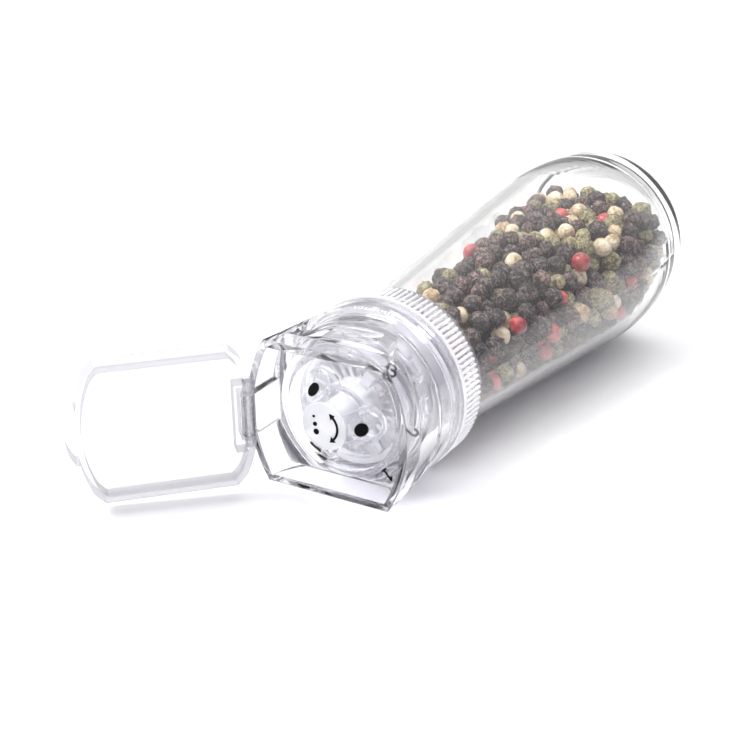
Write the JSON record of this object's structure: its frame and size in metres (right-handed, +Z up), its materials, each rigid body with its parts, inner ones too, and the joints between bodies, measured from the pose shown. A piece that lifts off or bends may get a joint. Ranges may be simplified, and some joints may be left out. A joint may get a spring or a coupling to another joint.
{
  "type": "pepper mill",
  "caption": "Pepper mill on its side: a tapered glass jar of peppercorns, a ribbed clear collar, a turning square head with an adjusting knob in its outlet, and an open flip lid.",
  "frame": {"origin": "middle of the bounding box on the surface that the mill lies on, with the lid open", "axes": "+Z up from that surface, +Y from the outlet towards the jar's base, +X to the right seen from the outlet; the mill's own axis lies in the YZ plane, 2.9 degrees nose down"},
  "size_m": [0.071, 0.179, 0.0508],
  "materials": {
    "clear_glass": "clear, polished",
    "clear_plastic": "clear, moulded, faint lavender edges",
    "burr_plastic": "clear, cut with fine teeth",
    "seal_plastic": "smooth, slightly cloudy",
    "black_print": "printed",
    "steel": "bright",
    "pepper": "dry, wrinkled"
  },
  "bodies": {
    "jar": {"glass_jar": "clear_glass", "peppercorns": "pepper"},
    "seal": {"jar_seal": "seal_plastic"},
    "collar": {"collar": "clear_plastic", "outer_burr": "burr_plastic", "thrust_washer": "seal_plastic"},
    "housing": {"housing": "clear_plastic", "retaining_ring": "burr_plastic", "hub_spider": "burr_plastic", "knob_clip": "steel", "grade_marks": "black_print", "hinge_pin": "steel", "burr_spring": "steel"},
    "knob": {"adjuster_knob": "burr_plastic", "knob_dots": "black_print", "turn_arrow": "black_print"},
    "burr": {"inner_burr": "burr_plastic", "drive_stem": "steel", "burr_washer": "steel", "burr_screw": "steel"},
    "lid": {"flip_lid": "clear_plastic"}
  },
  "joints": [
    {"name": "head_lift", "type": "slide", "parent": "jar", "child": "seal", "axis": [0, -0.9987, -0.0509], "range_m": [0, 0.004]},
    {"name": "head_unscrew", "type": "hinge", "parent": "seal", "child": "collar", "pos_m": [0.01016, -0.03223, 0.02049], "axis": [0, -0.9987, -0.0509], "range_deg": [0, 450.5]},
    {"name": "head_turn", "type": "hinge", "parent": "collar", "child": "housing", "pos_m": [0.01016, -0.03923, 0.02013], "axis": [0, -0.9987, -0.0509], "continuous": true},
    {"name": "adjuster_turn", "type": "hinge", "parent": "housing", "child": "knob", "pos_m": [0.01016, -0.04921, 0.01963], "axis": [0, -0.9987, -0.0509], "range_deg": [-46.5, 46.5]},
    {"name": "burr_travel", "type": "slide", "parent": "housing", "child": "burr", "axis": [0, -0.9987, -0.0509], "range_m": [-0.0006, 0.0006], "deforming": ["burr_spring"]},
    {"name": "lid_hinge", "type": "hinge", "parent": "housing", "child": "lid", "pos_m": [-0.00714, -0.0603, 0.01906], "axis": [0, -0.0509, 0.9987], "range_deg": [0, 134]}
  ],
  "couplings": [
    {"joint": "head_unscrew", "follows": "head_lift", "rad_per_m": 1963.5},
    {"joint": "adjuster_turn", "follows": "burr_travel", "rad_per_m": 1351.4}
  ]
}
